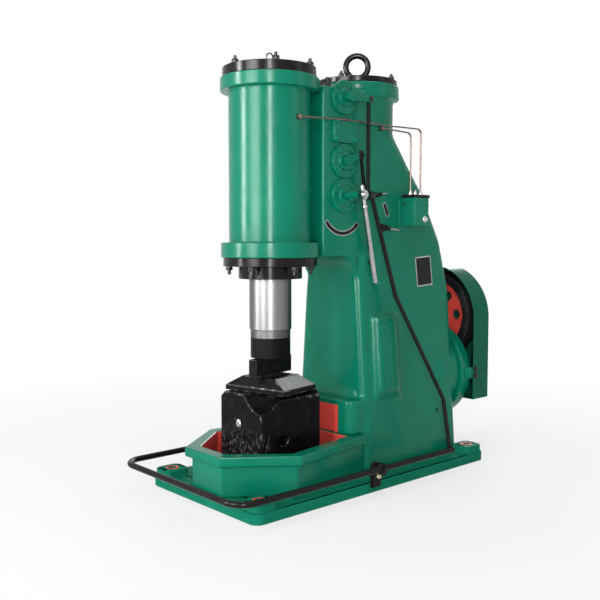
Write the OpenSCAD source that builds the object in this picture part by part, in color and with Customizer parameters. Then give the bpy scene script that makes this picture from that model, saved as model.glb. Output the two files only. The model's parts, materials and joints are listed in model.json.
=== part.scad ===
// Pneumatic forging hammer: one-piece frame, self-contained air cylinders, foot treadle.
// Millimetres, +Z up, front towards -Y, control side +X, origin under the middle of the base plate.

/* [Base] */
// Width of the base plate
base_w = 800; // [740:5:900]
// Length of the base plate, front to rear
base_len = 1570; // [1500:5:1700]
// Thickness of the base plate
base_t = 48; // [40:1:60]
// Corner radius of the base plate
base_corner_r = 46; // [40:1:60]
// Width of an anchor pad
pad_w = 116; // [100:1:120]
// Length of an anchor pad
pad_len = 128; // [100:1:132]
// Height of an anchor pad above the plate
pad_h = 36; // [20:1:50]
// Distance of the anchor holes from the side edges
anchor_inset_x = 68; // [66:1:80]
// Distance of the anchor holes from the end edges
anchor_inset_y = 74; // [72:1:90]
// Diameter of an anchor hole
anchor_d = 42; // [30:1:48]
// Width of the drain channel along each side
channel_w = 46; // [30:1:60]
// Depth of the drain channel
channel_depth = 12; // [6:1:18]

/* [Anvil] */
// Distance of the ram axis behind the front edge of the base
ram_front = 412; // [400:1:430]
// Height of the trough rim above the floor
trough_top = 232; // [210:1:250]
// Height of the rim band
rim_h = 44; // [30:1:60]
// Overhang of the rim past the wall
rim_over = 28; // [15:1:35]
// Width of the rim seen from above
rim_w = 64; // [50:1:75]
// Width of the trough across its front
trough_front_w = 262; // [230:1:300]
// Largest width of the trough
trough_max_w = 690; // [640:1:720]
// Width of the trough where it meets the column
trough_rear_w = 524; // [480:1:560]
// Distance of the trough front from the ram axis
trough_front = 400; // [380:1:405]
// Distance of the widest corner in front of the ram axis
trough_shoulder = 110; // [80:1:140]
// Distance of the rear trough wall behind the ram axis
trough_back = 300; // [280:1:320]
// Width of the sow block
sow_w = 300; // [280:1:320]
// Length of the sow block
sow_len = 365; // [340:1:380]
// Height of the sow block top above the floor
sow_top = 466; // [450:1:475]
// Width of the slope along the sides of its top
sow_slope_w = 30; // [20:1:40]
// Height of that slope
sow_slope_h = 26; // [16:1:36]
// Diameter of the lifting holes in the sow block
sow_hole_d = 46; // [30:1:60]

/* [Dies] */
// Angle of the dies about the ram axis, degrees
die_turn = 12; // [0:1:20]
// Height of the die joint above the floor
die_line = 536; // [520:1:545]
// Width of the flat on top of the lower die
die_face_w = 188; // [160:1:210]
// Width of the lower die at its foot
lower_die_w = 349; // [320:1:360]
// Length of the lower die at its foot
lower_die_len = 250; // [230:1:270]
// Height of the straight sides of the lower die
lower_die_side_h = 24; // [16:1:32]
// Width of the upper die
upper_die_w = 46; // [40:1:60]
// Length of the upper die
upper_die_len = 268; // [240:1:280]
// Height of the upper die below the ram foot
upper_die_h = 80; // [70:1:85]
// Gap between the dies at rest
die_gap = 5; // [5:0.5:8]

/* [Ram] */
// Diameter of the ram
ram_d = 198; // [190:1:204]
// Diameter of the ram foot
foot_d = 188; // [180:1:188]
// Height of the ram foot
foot_h = 95; // [80:1:110]
// Height of the dull neck band above the foot
neck_h = 38; // [20:1:50]
// Stroke of the ram
ram_stroke = 340; // [300:1:345]
// Diameter of the piston head
piston_d = 310; // [290:1:316]
// Space left above the piston at the top of its stroke
head_room = 130; // [100:1:160]

/* [Working cylinder] */
// Outside diameter of the barrel
barrel_d = 384; // [376:1:392]
// Diameter of the flanges
flange_d = 460; // [440:1:470]
// Height of the underside of the bottom flange
barrel_low = 1089; // [1080:1:1100]
// Height of the top of the barrel
barrel_top = 1909; // [1895:1:1920]
// Thickness of the bottom flange
low_flange_t = 70; // [55:1:80]
// Thickness of the top flange
top_flange_t = 60; // [50:1:70]
// Step of the covers inside the flange edge
cover_in = 10; // [5:1:15]
// Thickness of the cylinder cover
cover_t = 46; // [30:1:60]
// Thickness of the gland flange
gland_t = 40; // [30:1:50]
// Diameter of the gland ring
gland_ring_d = 298; // [280:1:320]
// Height of the gland ring
gland_ring_h = 58; // [40:1:70]

/* [Column] */
// Distance of the column front behind the ram axis
throat = 389; // [385:1:400]
// Width of the column at its foot
column_foot_w = 524; // [500:1:540]
// Depth of the column at its foot
column_depth = 714; // [690:1:720]
// Height of the top of the flared body
flare_top = 1700; // [1660:1:1720]
// Diameter of the compressor barrel
comp_d = 372; // [360:1:380]
// Distance of the compressor axis behind the ram axis
comp_back = 575; // [570:1:580]
// Height of the top of the compressor flange
comp_top = 1939; // [1925:1:1945]
// Diameter of the compressor flange
comp_flange_d = 432; // [420:1:440]
// Thickness of the compressor flange
comp_flange_t = 74; // [60:1:80]
// Thickness of the compressor cover
comp_cover_t = 28; // [20:1:40]
// Height of the top of the valve chest
chest_top = 1880; // [1870:1:1895]
// Distance of the chest front behind the ram axis
chest_front = 165; // [160:1:175]
// Radius of the arch over the throat
arch_r = 90; // [60:1:120]
// Height of the foot behind the sow block
heel_top = 400; // [380:1:420]
// Width of that foot
heel_w = 468; // [430:1:470]
// Length of the raised side panel at its root
panel_len = 215; // [190:1:240]
// Height of the raised side panel at its root
panel_h = 450; // [420:1:460]
// Height of the panel's lower edge
panel_low = 350; // [340:1:360]
// Width over both side panels at their upper edge
panel_top_w = 492; // [484:1:500]
// Width over both side panels at their lower edge
panel_low_w = 544; // [536:1:552]

/* [Lifting eye] */
// Outside diameter of the ring
eye_d = 142; // [120:1:150]
// Thickness of the ring
eye_t = 30; // [24:1:34]
// Angle of the ring about the vertical, degrees
eye_turn = 45; // [0:5:90]

/* [Valves] */
// Diameter of a valve cover
valve_d = 160; // [150:1:161]
// Thickness of a valve cover
valve_t = 26; // [20:1:30]
// Distance of the valve row behind the ram axis
valve_back = 293; // [285:1:300]
// Height of the upper valve
upper_valve_z = 1836; // [1830:1:1840]
// Height of the middle valve
middle_valve_z = 1541; // [1540:1:1545]
// Height of the lower valve
lower_valve_z = 1379; // [1374:1:1379]
// Width of the port cover
port_w = 150; // [130:1:160]
// Height of the port cover
port_h = 112; // [100:1:116]
// Height of the middle of the port cover
port_z = 1681; // [1676:1:1686]
// Thickness of the port cover
port_t = 20; // [14:1:26]
// Length of the two linked valve arms
arm_len = 118; // [105:1:125]
// Thickness of an arm plate
arm_t = 10; // [8:1:12]
// Length of the hand lever below its hub
lever_len = 414; // [380:1:440]
// Diameter of the hand lever
lever_d = 20; // [16:1:24]

/* [Treadle] */
// Diameter of the treadle bar
treadle_d = 28; // [24:1:32]
// Distance of the treadle arms from the sides of the base
treadle_side = 50; // [45:1:60]
// Height of the treadle bar above the floor
treadle_z = 122; // [115:1:130]
// Distance of the front bar before the ram axis
treadle_front = 535; // [520:1:550]
// Distance of the pivot behind the ram axis
treadle_pivot = 288; // [280:1:300]
// Distance of the rod end behind the ram axis
treadle_rear = 815; // [800:1:825]
// Bend radius of the treadle corners
treadle_bend_r = 90; // [60:1:110]
// Width of the flat treadle rod
rod_w = 28; // [22:1:32]
// Thickness of the flat treadle rod
rod_t = 8; // [6:1:10]

/* [Drive] */
// Height of the flywheel axis
wheel_z = 755; // [750:1:760]
// Diameter of the flywheel rim
wheel_d = 450; // [430:1:456]
// Width of the flywheel rim
wheel_w = 90; // [80:1:96]
// Height of the motor axis
motor_z = 450; // [440:1:455]
// Diameter of the motor boss on the column
motor_d = 490; // [484:1:500]
// Diameter of the motor flange
motor_flange_d = 530; // [520:1:536]
// Diameter of the motor pulley
motor_pulley_d = 120; // [100:1:130]
// Width of the belt guard
guard_w = 576; // [566:1:590]
// Depth of the belt guard
guard_depth = 135; // [130:1:145]
// Height of the arch centre of the guard
guard_arch_z = 745; // [740:1:755]
// Height of the bottom of the guard
guard_low = 302; // [290:1:310]
// Thickness of the guard sheet
guard_t = 4; // [3:0.5:5]

/* [Lubricator] */
// Length of the lubricator box
lub_len = 107; // [95:1:120]
// Depth of the lubricator box
lub_depth = 84; // [70:1:95]
// Height of the lubricator box
lub_h = 141; // [130:1:150]
// Height of its underside
lub_z = 1242; // [1235:1:1250]
// Distance of its front behind the ram axis
lub_back = 701; // [695:1:710]
// Diameter of the oil pipes
pipe_d = 8; // [6:0.5:10]

/* [Hidden] */
$fn = 96;

// Named overrun of every cut, running fit of round pieces and side play of plates
over = 2;
fit = 0.4;
play = 2;

// Places along the machine
ram_y = ram_front - base_len / 2;
front_y = ram_y + throat;
comp_y = ram_y + comp_back;
valve_y = ram_y + valve_back;
pivot_y = ram_y + treadle_pivot;
rod_y = ram_y + treadle_rear;
rear_y = front_y + column_depth;
chest_x = comp_d / 2;
valve_x = chest_x + valve_t;
treadle_w = base_w + 2 * treadle_side;
cover_d = flange_d - 2 * cover_in;

// Planes of the control plates, counted outwards from the valve covers
plate_gap = 5;
lever_gap = 40;
middle_x = valve_x + plate_gap;
link_x = middle_x + arm_t + plate_gap;
arm_x = link_x + arm_t + play;
rod_x = arm_x + arm_t + play;
lever_x = rod_x + rod_t + lever_gap;
pin_r = 10;
arm_end_r = 19;
shaft_r = 15;

module ramwards(z = 0) { translate([0, ram_y, z]) children(); }

// Rounded rectangle between two corners
module rounded(x0, x1, y0, y1, r) {
    translate([x0 + r, y0]) square([x1 - x0 - 2 * r, y1 - y0]);
    translate([x0, y0 + r]) square([x1 - x0, y1 - y0 - 2 * r]);
    for (x = [x0 + r, x1 - r], y = [y0 + r, y1 - r]) translate([x, y]) circle(r);
}

// Disc whose axis runs along X, and along Y
module x_disc(x, y, z, r, t) { translate([x, y, z]) rotate([0, 90, 0]) cylinder(r = r, h = t); }
module y_disc(x, y, z, r, t) { translate([x, y, z]) rotate([-90, 0, 0]) cylinder(r = r, h = t); }

// Flat bar of thickness t with round eyes, lying across X from one pin to another
bar_share = 0.84;

module flat_bar(x, y0, z0, y1, z1, r, t, share = bar_share) {
    len = norm([y1 - y0, z1 - z0]);
    turn = atan2(z1 - z0, y1 - y0);
    x_disc(x, y0, z0, r, t);
    x_disc(x, y1, z1, r, t);
    translate([x, y0, z0]) rotate([turn, 0, 0]) translate([0, 0, -r * share])
        cube([t, len, 2 * r * share]);
}

// Round bar between two points, turned in one piece with rounded ends
module round_bar(p, q, r) {
    d = q - p;
    translate(p) rotate([0, acos(d.z / norm(d)), atan2(d.y, d.x)]) rotate_extrude() {
        square([r, norm(d)]);
        translate([0, norm(d)]) intersection() {
            circle(r);
            square(r);
        }
        intersection() {
            circle(r);
            translate([0, -r]) square(r);
        }
    }
}

anchor_x = base_w / 2 - anchor_inset_x;
anchor_y = base_len / 2 - anchor_inset_y;
pad_r = 30;
channel_edge = 34;
channel_end = 260;
channel_x = base_w / 2 - channel_edge - channel_w / 2;

module base_plate() {
    color("mediumseagreen") difference() {
        union() {
            linear_extrude(base_t)
                rounded(-base_w / 2, base_w / 2, -base_len / 2, base_len / 2, base_corner_r);
            for (sx = [-1, 1], sy = [-1, 1]) translate([sx * anchor_x, sy * anchor_y, base_t - over])
                linear_extrude(pad_h + over)
                    rounded(-pad_w / 2, pad_w / 2, -pad_len / 2, pad_len / 2, pad_r);
        }
        for (sx = [-1, 1], sy = [-1, 1]) translate([sx * anchor_x, sy * anchor_y, -over])
            cylinder(d = anchor_d, h = base_t + pad_h + 2 * over);
        for (sx = [-1, 1])
            translate([sx * channel_x - channel_w / 2, channel_end - base_len / 2, base_t - channel_depth])
                cube([channel_w, base_len - 2 * channel_end, channel_depth + over]);
    }
}

// Half outline of the trough, pulled in by a set amount
trough_turn = 30;
function trough_side(in) = [[trough_front_w / 2 - in * tan(trough_turn), in - trough_front],
    [trough_max_w / 2 - in, -trough_shoulder], [trough_rear_w / 2 - in, throat]];
module trough_outline(in) {
    side = trough_side(in);
    polygon(concat(side, [for (i = [len(side) - 1 : -1 : 0]) [-side[i].x, side[i].y]]));
}

module anvil_trough() {
    color("seagreen") ramwards() difference() {
        union() {
            translate([0, 0, base_t]) linear_extrude(trough_top - base_t) trough_outline(rim_over);
            translate([0, 0, trough_top - rim_h]) linear_extrude(rim_h) trough_outline(0);
        }
        translate([0, 0, base_t - over]) linear_extrude(trough_top - base_t + 2 * over) intersection() {
            trough_outline(rim_w);
            translate([-trough_max_w, trough_back - 2 * trough_max_w]) square(2 * trough_max_w);
        }
    }
}

sow_h = sow_top - base_t;
sow_hole_low = 205;
sow_hole_ahead = 45;
sow_front_hole_low = 274;
sow_front_hole_x = -25;
sow_front_hole_deep = 60;
sow_scoop_r = 137;
sow_scoop_deep = 74;

module sow_block() {
    color("dimgray") ramwards(base_t) difference() {
        translate([0, sow_len / 2, 0]) rotate([90, 0, 0]) linear_extrude(sow_len)
            polygon([[-sow_w / 2, 0], [sow_w / 2, 0], [sow_w / 2, sow_h - sow_slope_h],
                [sow_w / 2 - sow_slope_w, sow_h], [sow_slope_w - sow_w / 2, sow_h],
                [-sow_w / 2, sow_h - sow_slope_h]]);
        x_disc(-sow_w / 2 - over, -sow_hole_ahead, sow_hole_low, sow_hole_d / 2, sow_w + 2 * over);
        y_disc(sow_front_hole_x, -sow_len / 2 - over, sow_front_hole_low, sow_hole_d / 2,
            sow_front_hole_deep + over);
        translate([sow_w / 2, -sow_len / 2, sow_h + sow_scoop_r - sow_scoop_deep]) sphere(sow_scoop_r);
    }
}

lower_die_h = die_line - sow_top;

module die_profile(w) {
    polygon([[-w / 2, 0], [w / 2, 0], [w / 2, lower_die_side_h], [die_face_w / 2, lower_die_h],
        [-die_face_w / 2, lower_die_h], [-w / 2, lower_die_side_h]]);
}

module lower_die() {
    color("dimgray") ramwards(sow_top) rotate([0, 0, die_turn]) intersection() {
        translate([0, lower_die_len / 2, 0]) rotate([90, 0, 0]) linear_extrude(lower_die_len)
            die_profile(lower_die_w);
        translate([-lower_die_w / 2, 0, 0]) rotate([90, 0, 90]) linear_extrude(lower_die_w)
            die_profile(lower_die_len);
    }
}

upper_die_z = die_line + die_gap;
foot_z = upper_die_z + upper_die_h;
neck_z = foot_z + foot_h;

module upper_die() {
    color("dimgray") ramwards(upper_die_z) rotate([0, 0, die_turn])
        translate([-upper_die_w / 2, -upper_die_len / 2, 0]) cube([upper_die_w, upper_die_len, upper_die_h]);
}

piston_lift = 40;
piston_z = barrel_low + low_flange_t + piston_lift;
piston_h = barrel_top - piston_z - ram_stroke - head_room;

module ram() {
    color("silver") ramwards() {
        translate([0, 0, foot_z]) cylinder(d = foot_d, h = foot_h + neck_h);
        translate([0, 0, neck_z + neck_h]) cylinder(d = ram_d, h = piston_z - neck_z - neck_h);
        translate([0, 0, piston_z]) cylinder(d = piston_d, h = piston_h);
    }
}

module gland_flange() {
    color("black") ramwards(barrel_low - gland_t) difference() {
        cylinder(d = cover_d, h = gland_t);
        translate([0, 0, -over]) cylinder(d = ram_d + 2 * fit, h = gland_t + 2 * over);
    }
}

module gland_ring() {
    color("black") ramwards(barrel_low - gland_t - gland_ring_h) difference() {
        cylinder(d = gland_ring_d, h = gland_ring_h);
        translate([0, 0, -over]) cylinder(d = ram_d + 2 * fit, h = gland_ring_h + 2 * over);
    }
}

module barrel_form() {
    translate([0, 0, barrel_low]) cylinder(d = barrel_d, h = barrel_top - barrel_low);
    translate([0, 0, barrel_low]) cylinder(d = flange_d, h = low_flange_t);
    translate([0, 0, barrel_top - top_flange_t]) cylinder(d = flange_d, h = top_flange_t);
}

module working_cylinder() {
    color("seagreen") ramwards() difference() {
        barrel_form();
        translate([0, 0, barrel_low - over])
            cylinder(d = piston_d + 2 * fit, h = barrel_top - barrel_low + 2 * over);
    }
}

cover_step_share = 0.62;
cover_step_h = 8;

module cylinder_cover() {
    color("black") ramwards(barrel_top) {
        cylinder(d = cover_d, h = cover_t);
        translate([0, 0, cover_t]) cylinder(d = cover_d * cover_step_share, h = cover_step_h);
    }
}

// Sections of the flared body from the foot up, as shares of its height, width, depth and corner radius
waist_share = comp_d / column_foot_w;
body_shares = [[0, 1, 1, 0.22], [0.516, 0.763, 1, 0.22], [0.673, waist_share, 0.938, 0.36],
    [0.745, waist_share, 0.875, 0.54], [0.831, waist_share, 0.775, 0.65], [0.907, waist_share, 0.654, 0.81],
    [1, waist_share, comp_d / column_depth, 1]];
slice = 1;

module body_section(s) {
    w = column_foot_w * s[1];
    depth = column_depth * s[2];
    translate([0, 0, base_t + (flare_top - base_t - slice) * s[0]]) linear_extrude(slice)
        rounded(-w / 2, w / 2, front_y, front_y + depth, min(comp_d * s[3], w, depth) / 2 - fit);
}

module flared_body() {
    for (i = [0 : len(body_shares) - 2]) hull() {
        body_section(body_shares[i], $fn = 64);
        body_section(body_shares[i + 1], $fn = 64);
    }
}

chest_lift = 4;
chest_low = barrel_low + chest_lift;

module valve_chest() {
    translate([-chest_x, ram_y + chest_front, chest_low])
        cube([comp_d, comp_y - ram_y - chest_front, chest_top - chest_low]);
    translate([-chest_x, front_y, chest_low]) rotate([90, 0, 90]) linear_extrude(comp_d) difference() {
        translate([-arch_r, -arch_r]) square(arch_r + over);
        translate([-arch_r, -arch_r]) circle(arch_r);
    }
}

// Foot in front of the column, with a hollow sweep up to its face
heel_r = 56;
sweep_r = 60;

module heel() {
    translate([0, 0, trough_top]) linear_extrude(heel_top - trough_top)
        rounded(-heel_w / 2, heel_w / 2, ram_y + trough_back, front_y + 2 * heel_r, heel_r);
    translate([heel_r - heel_w / 2, front_y, heel_top]) rotate([90, 0, 90])
        linear_extrude(heel_w - 2 * heel_r) difference() {
            translate([-sweep_r, -over]) square([sweep_r + over, sweep_r + over]);
            translate([-sweep_r, sweep_r]) circle(sweep_r);
        }
}

// Tapered pads on both sides, drawn through the column in one piece
panel_r = 12;
panel_back = 69;
panel_front_slope = 34;
panel_rear_slope = 66;
panel_low_slope = 90;
panel_sink = 82;

module panel_corner(w, y, z) {
    for (sx = [-1, 1]) translate([sx * (w / 2 - panel_r), y, z]) sphere(panel_r, $fn = 24);
}

module side_panels() {
    front = front_y + panel_back;
    rear = front + panel_len;
    hull() {
        for (y = [front, rear]) {
            panel_corner(panel_top_w - panel_sink, y, panel_low + panel_h - panel_r);
            panel_corner(panel_low_w - panel_sink, y, panel_low + panel_r);
        }
        for (y = [front + panel_front_slope, rear - panel_rear_slope]) {
            panel_corner(panel_top_w, y, panel_low + panel_h - panel_r);
            panel_corner(panel_low_w, y, panel_low + panel_low_slope);
        }
    }
}

boss_y = 622;
boss_proud = 34;
nose_len = 69;
nose_r = 231;

// Round motor boss with a coned nose running out into the column's sides
module motor_boss() {
    y_disc(0, boss_y, motor_z, motor_d / 2, rear_y + boss_proud - boss_y);
    translate([0, boss_y - nose_len, motor_z]) rotate([-90, 0, 0])
        cylinder(r1 = nose_r, r2 = motor_d / 2, h = nose_len);
}

module frame_column() {
    color("seagreen") difference() {
        union() {
            flared_body();
            valve_chest();
            translate([0, comp_y, flare_top - over]) cylinder(d = comp_d, h = comp_top - flare_top + over);
            translate([0, comp_y, comp_top - comp_flange_t]) cylinder(d = comp_flange_d, h = comp_flange_t);
            heel();
            side_panels();
            motor_boss();
        }
        ramwards() barrel_form();
    }
}

comp_cover_in = 10;

module compressor_cover() {
    color("black") translate([0, comp_y, comp_top]) {
        cylinder(d = comp_flange_d - 2 * comp_cover_in, h = comp_cover_t);
    }
}

eye_collar_d = 70;
eye_collar_h = 18;
eye_z = comp_top + comp_cover_t + eye_collar_h + eye_d / 2 - eye_t / 3;

module lifting_eye() {
    color("black") translate([0, comp_y, 0]) {
        translate([0, 0, comp_top + comp_cover_t]) cylinder(d = eye_collar_d, h = eye_collar_h);
        translate([0, 0, eye_z]) rotate([90, 0, eye_turn]) rotate_extrude()
            translate([eye_d / 2 - eye_t / 2, 0]) circle(d = eye_t);
    }
}

valve_hub_r = 42;
valve_step = 10;

module valve_cover(z) {
    color("seagreen") difference() {
        union() {
            x_disc(chest_x, valve_y, z, valve_d / 2, valve_t - valve_step);
            x_disc(chest_x, valve_y, z, valve_hub_r, valve_t);
        }
        x_disc(chest_x + valve_step / 2, valve_y, z, shaft_r + fit, valve_t);
    }
}

module upper_valve_cover() { valve_cover(upper_valve_z); }
module middle_valve_cover() { valve_cover(middle_valve_z); }
module lower_valve_cover() { valve_cover(lower_valve_z); }

port_r = 20;

module port_cover() {
    color("seagreen") translate([chest_x, valve_y - port_w / 2, port_z - port_h / 2])
        rotate([90, 0, 90]) linear_extrude(port_t) rounded(0, port_w, 0, port_h, port_r);
}

pin_y = valve_y + arm_len;
shaft_in = chest_x + valve_step / 2 + fit;
hub_r = 26;

module linked_arm(z, pin_end) {
    x_disc(shaft_in, valve_y, z, shaft_r, arm_x - shaft_in + arm_t);
    x_disc(arm_x, valve_y, z, hub_r, arm_t);
    flat_bar(arm_x, valve_y, z, pin_y, z, arm_end_r, arm_t);
    x_disc(link_x, pin_y, z, pin_r, pin_end - link_x);
}

module upper_valve_arm() { color("seagreen") linked_arm(upper_valve_z, arm_x + arm_t); }

module lower_valve_arm() {
    color("seagreen") {
        linked_arm(lower_valve_z, rod_x + rod_t + play);
        x_disc(arm_x, valve_y, lower_valve_z, shaft_r, lever_x - arm_x);
    }
}

lever_lean = 12;
lever_hub_r = 22;
lever_hub_t = 26;
lever_head = 36;

module hand_lever() {
    hub = [lever_x + lever_hub_t / 2, valve_y, lower_valve_z];
    down = [0, sin(lever_lean), -cos(lever_lean)];
    color("silver") {
        x_disc(lever_x, valve_y, lower_valve_z, lever_hub_r, lever_hub_t);
        round_bar(hub - lever_head * down, hub + lever_len * down, lever_d / 2);
    }
}

middle_arm_y = 84;
middle_arm_z = 34;
middle_lever_y = 148;
middle_lever_drop = 415;
middle_bar_r = 9;

module middle_valve_lever() {
    color("black") {
        x_disc(shaft_in, valve_y, middle_valve_z, shaft_r, middle_x - shaft_in + arm_t);
        x_disc(middle_x, valve_y, middle_valve_z, hub_r, arm_t);
        flat_bar(middle_x, valve_y, middle_valve_z, valve_y + middle_arm_y, middle_valve_z + middle_arm_z,
            arm_end_r, arm_t);
        flat_bar(middle_x, valve_y + middle_arm_y, middle_valve_z + middle_arm_z,
            valve_y + middle_lever_y, middle_valve_z - middle_lever_drop, middle_bar_r, arm_t);
    }
}

link_share = 0.48;

module link_bar() {
    color("black") difference() {
        flat_bar(link_x, pin_y, lower_valve_z, pin_y, upper_valve_z, arm_end_r, arm_t, link_share);
        for (z = [lower_valve_z, upper_valve_z])
            x_disc(link_x - over, pin_y, z, pin_r + fit, arm_t + 2 * over);
    }
}

// The rod is bent twice: steep at both ends, leaning outwards between the bends
rod_low_x = treadle_w / 2 - treadle_d / 2 - play - rod_t;
rod_eye_play = 5;
rod_lean_low = 259;
rod_low_ahead = 56;
rod_lean_high = 484;
rod_high_back = 177;

// Flat bar through points, its four corners carried from each point to the next
module bent_bar(points, w, t) {
    corners = [[0, -w / 2, 0], [t, -w / 2, 0], [t, w / 2, 0], [0, w / 2, 0]];
    n = len(corners);
    last = n * (len(points) - 1);
    sides = [for (i = [0 : len(points) - 2], j = [0 : n - 1]) let (k = (j + 1) % n)
        [n * i + n + j, n * i + n + k, n * i + k, n * i + j]];
    polyhedron([for (p = points, c = corners) p + c],
        concat([[0, 1, 2, 3]], [[last + 3, last + 2, last + 1, last]], sides));
}

module treadle_rod() {
    low = [rod_low_x, rod_y, treadle_z];
    high = [rod_x, pin_y, lower_valve_z];
    color("black") difference() {
        union() {
            bent_bar([low, low + [0, -rod_low_ahead, rod_lean_low], high + [0, rod_high_back, -rod_lean_high],
                high], rod_w * bar_share, rod_t);
            x_disc(low.x, low.y, low.z, arm_end_r, rod_t);
            x_disc(high.x, high.y, high.z, arm_end_r + rod_eye_play, rod_t);
        }
        x_disc(low.x - over, low.y, low.z, pin_r + fit, rod_t + 2 * over);
        x_disc(high.x - over, high.y, high.z, pin_r + rod_eye_play, rod_t + 2 * over);
    }
}

treadle_front_y = ram_y - treadle_front;
treadle_eye_r = 28;
treadle_eye_t = 30;
left_tail = 40;

module treadle_bar() {
    r = treadle_d / 2;
    half = treadle_w / 2;
    bend = treadle_bend_r;
    color("black") difference() {
        union() {
            translate([0, 0, treadle_z]) {
                translate([bend - half, treadle_front_y, 0]) rotate([0, 90, 0])
                    cylinder(r = r, h = treadle_w - 2 * bend);
                for (sx = [-1, 1]) translate([sx * (half - bend), treadle_front_y + bend, 0])
                    rotate([0, 0, sx > 0 ? -90 : 180])
                        rotate_extrude(angle = 90) translate([bend, 0]) circle(r);
                y_disc(half, treadle_front_y + bend, 0, r, rod_y - treadle_front_y - bend);
                y_disc(-half, treadle_front_y + bend, 0, r, pivot_y + left_tail - treadle_front_y - bend);
            }
            for (sx = [-1, 1])
                x_disc(sx * half - treadle_eye_t / 2, pivot_y, treadle_z, treadle_eye_r, treadle_eye_t);
            x_disc(rod_low_x - play, rod_y, treadle_z, pin_r, half - rod_low_x);
        }
        for (sx = [-1, 1])
            x_disc(sx * half - treadle_eye_t / 2 - over, pivot_y, treadle_z, pin_r + fit,
                treadle_eye_t + 2 * over);
    }
}

bracket_len = 52;
bracket_t = 22;
bracket_low = 30;
bracket_r = 26;

module treadle_bracket() {
    reach = treadle_w / 2 + treadle_eye_t / 2 + play;
    color("black") {
        translate([base_w / 2, pivot_y - bracket_len / 2, bracket_low])
            cube([bracket_t, bracket_len, treadle_z - bracket_low]);
        x_disc(base_w / 2, pivot_y, treadle_z, bracket_r, bracket_t);
        x_disc(base_w / 2 + bracket_t, pivot_y, treadle_z, pin_r, reach - base_w / 2 - bracket_t);
    }
}

module treadle_bracket_right() { treadle_bracket(); }
module treadle_bracket_left() { mirror([1, 0, 0]) treadle_bracket(); }

lub_y = ram_y + lub_back;
lub_plate_t = 14;
lub_plate_over = 20;
lub_x = chest_x + lub_plate_t;
lid_over = 4;
lid_t = 16;

module lubricator_bracket() {
    color("seagreen") translate([chest_x, lub_y - lub_plate_over, lub_z - lid_over])
        cube([lub_plate_t, lub_len + 2 * lub_plate_over, lub_h + 2 * lid_over]);
}

module lubricator_box() {
    color("seagreen") translate([lub_x, lub_y, lub_z]) cube([lub_depth, lub_len, lub_h]);
}

module lubricator_lid() {
    color("black") translate([lub_x, lub_y - lid_over, lub_z + lub_h])
        cube([lub_depth + lid_over, lub_len + 2 * lid_over, lid_t]);
}

pipe_r = pipe_d / 2;
bend_r = 24;
bend_swell = 0.6;
elbow_share = 1.4;
least_bend = 40;
riser_shares = [0.84, 0.12];
pipe_out = 28;
pipe_x = chest_x + pipe_out;
front_run_z = 1730;
rear_run_z = 1704;
fitting_z = 1716;
fitting_r = 11;
fitting_len = 20;
rear_fitting_ahead = 28;
rear_fitting_y = comp_y - rear_fitting_ahead;

function unit(v) = v / norm(v);
function turn_at(p, i) = acos(unit(p[i] - p[i - 1]) * unit(p[i + 1] - p[i]));
function bent(p, i) = i > 0 && i < len(p) - 1 && turn_at(p, i) > least_bend;
function trim_at(p, i) = bent(p, i) ? bend_r * tan(turn_at(p, i) / 2) - over : 0;

module pipe_run(p, q) {
    d = q - p;
    translate(p) rotate([0, acos(d.z / norm(d)), atan2(d.y, d.x)]) cylinder(r = pipe_r, h = norm(d));
}

// Quarter or lesser bend that leaves direction a for direction b
module pipe_bend(corner, a, b, turn) {
    in = unit(b - a * (a * b));
    out = cross(-in, a);
    mid = corner - a * bend_r * tan(turn / 2) + in * bend_r;
    multmatrix([[-in.x, a.x, out.x, mid.x], [-in.y, a.y, out.y, mid.y], [-in.z, a.z, out.z, mid.z]])
        rotate_extrude(angle = turn) translate([bend_r, 0]) circle(pipe_r + bend_swell);
}

module pipe(p) {
    for (i = [0 : len(p) - 2]) {
        d = unit(p[i + 1] - p[i]);
        pipe_run(p[i] + d * trim_at(p, i), p[i + 1] - d * trim_at(p, i + 1));
    }
    for (i = [1 : len(p) - 2])
        if (bent(p, i)) pipe_bend(p[i], unit(p[i] - p[i - 1]), unit(p[i + 1] - p[i]), turn_at(p, i));
        else translate(p[i]) sphere(pipe_r * elbow_share);
}

// Union screwed sideways into the casting
module fitting(x, y) { x_disc(x, y, fitting_z, fitting_r, fitting_len); }
function fitting_end(x, y) = [x + fitting_len, y, fitting_z];

lid_z = lub_z + lub_h + lid_t;
riser_x = lub_x + lub_depth / 2;

module oil_pipe_front() {
    y = lub_y + lub_len * riser_shares[0];
    color("peru") {
        pipe([[riser_x, y, lid_z], [riser_x, y, front_run_z], [pipe_x, comp_y, front_run_z],
            [pipe_x, valve_y, front_run_z], fitting_end(barrel_d / 2, ram_y)]);
        fitting(barrel_d / 2, ram_y);
    }
}

module oil_pipe_rear() {
    y = lub_y + lub_len * riser_shares[1];
    color("peru") {
        pipe([[riser_x, y, lid_z], [riser_x, y, rear_run_z], fitting_end(chest_x, rear_fitting_y)]);
        fitting(chest_x, rear_fitting_y);
    }
}

flange_y = rear_y + boss_proud;
guard_back = 97;
guard_y = rear_y + guard_back;
guard_seat = 8;
motor_flange_t = guard_y - flange_y;
motor_shaft_r = 24;
lug_h = 60;

module motor_flange() {
    color("seagreen") difference() {
        union() {
            y_disc(0, flange_y, motor_z, motor_flange_d / 2, motor_flange_t);
            translate([guard_t - guard_w / 2, guard_y - lug_h / 2, motor_z - lug_h / 2])
                cube([guard_w - 2 * guard_t, lug_h / 2 + guard_seat, lug_h]);
        }
        y_disc(0, guard_y, motor_z, motor_shaft_r + play, guard_seat + over);
    }
}

bearing_d = 110;
bearing_t = 30;
crank_r = 28;
wheel_in = 25;
wheel_y = guard_y + wheel_in;

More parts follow.
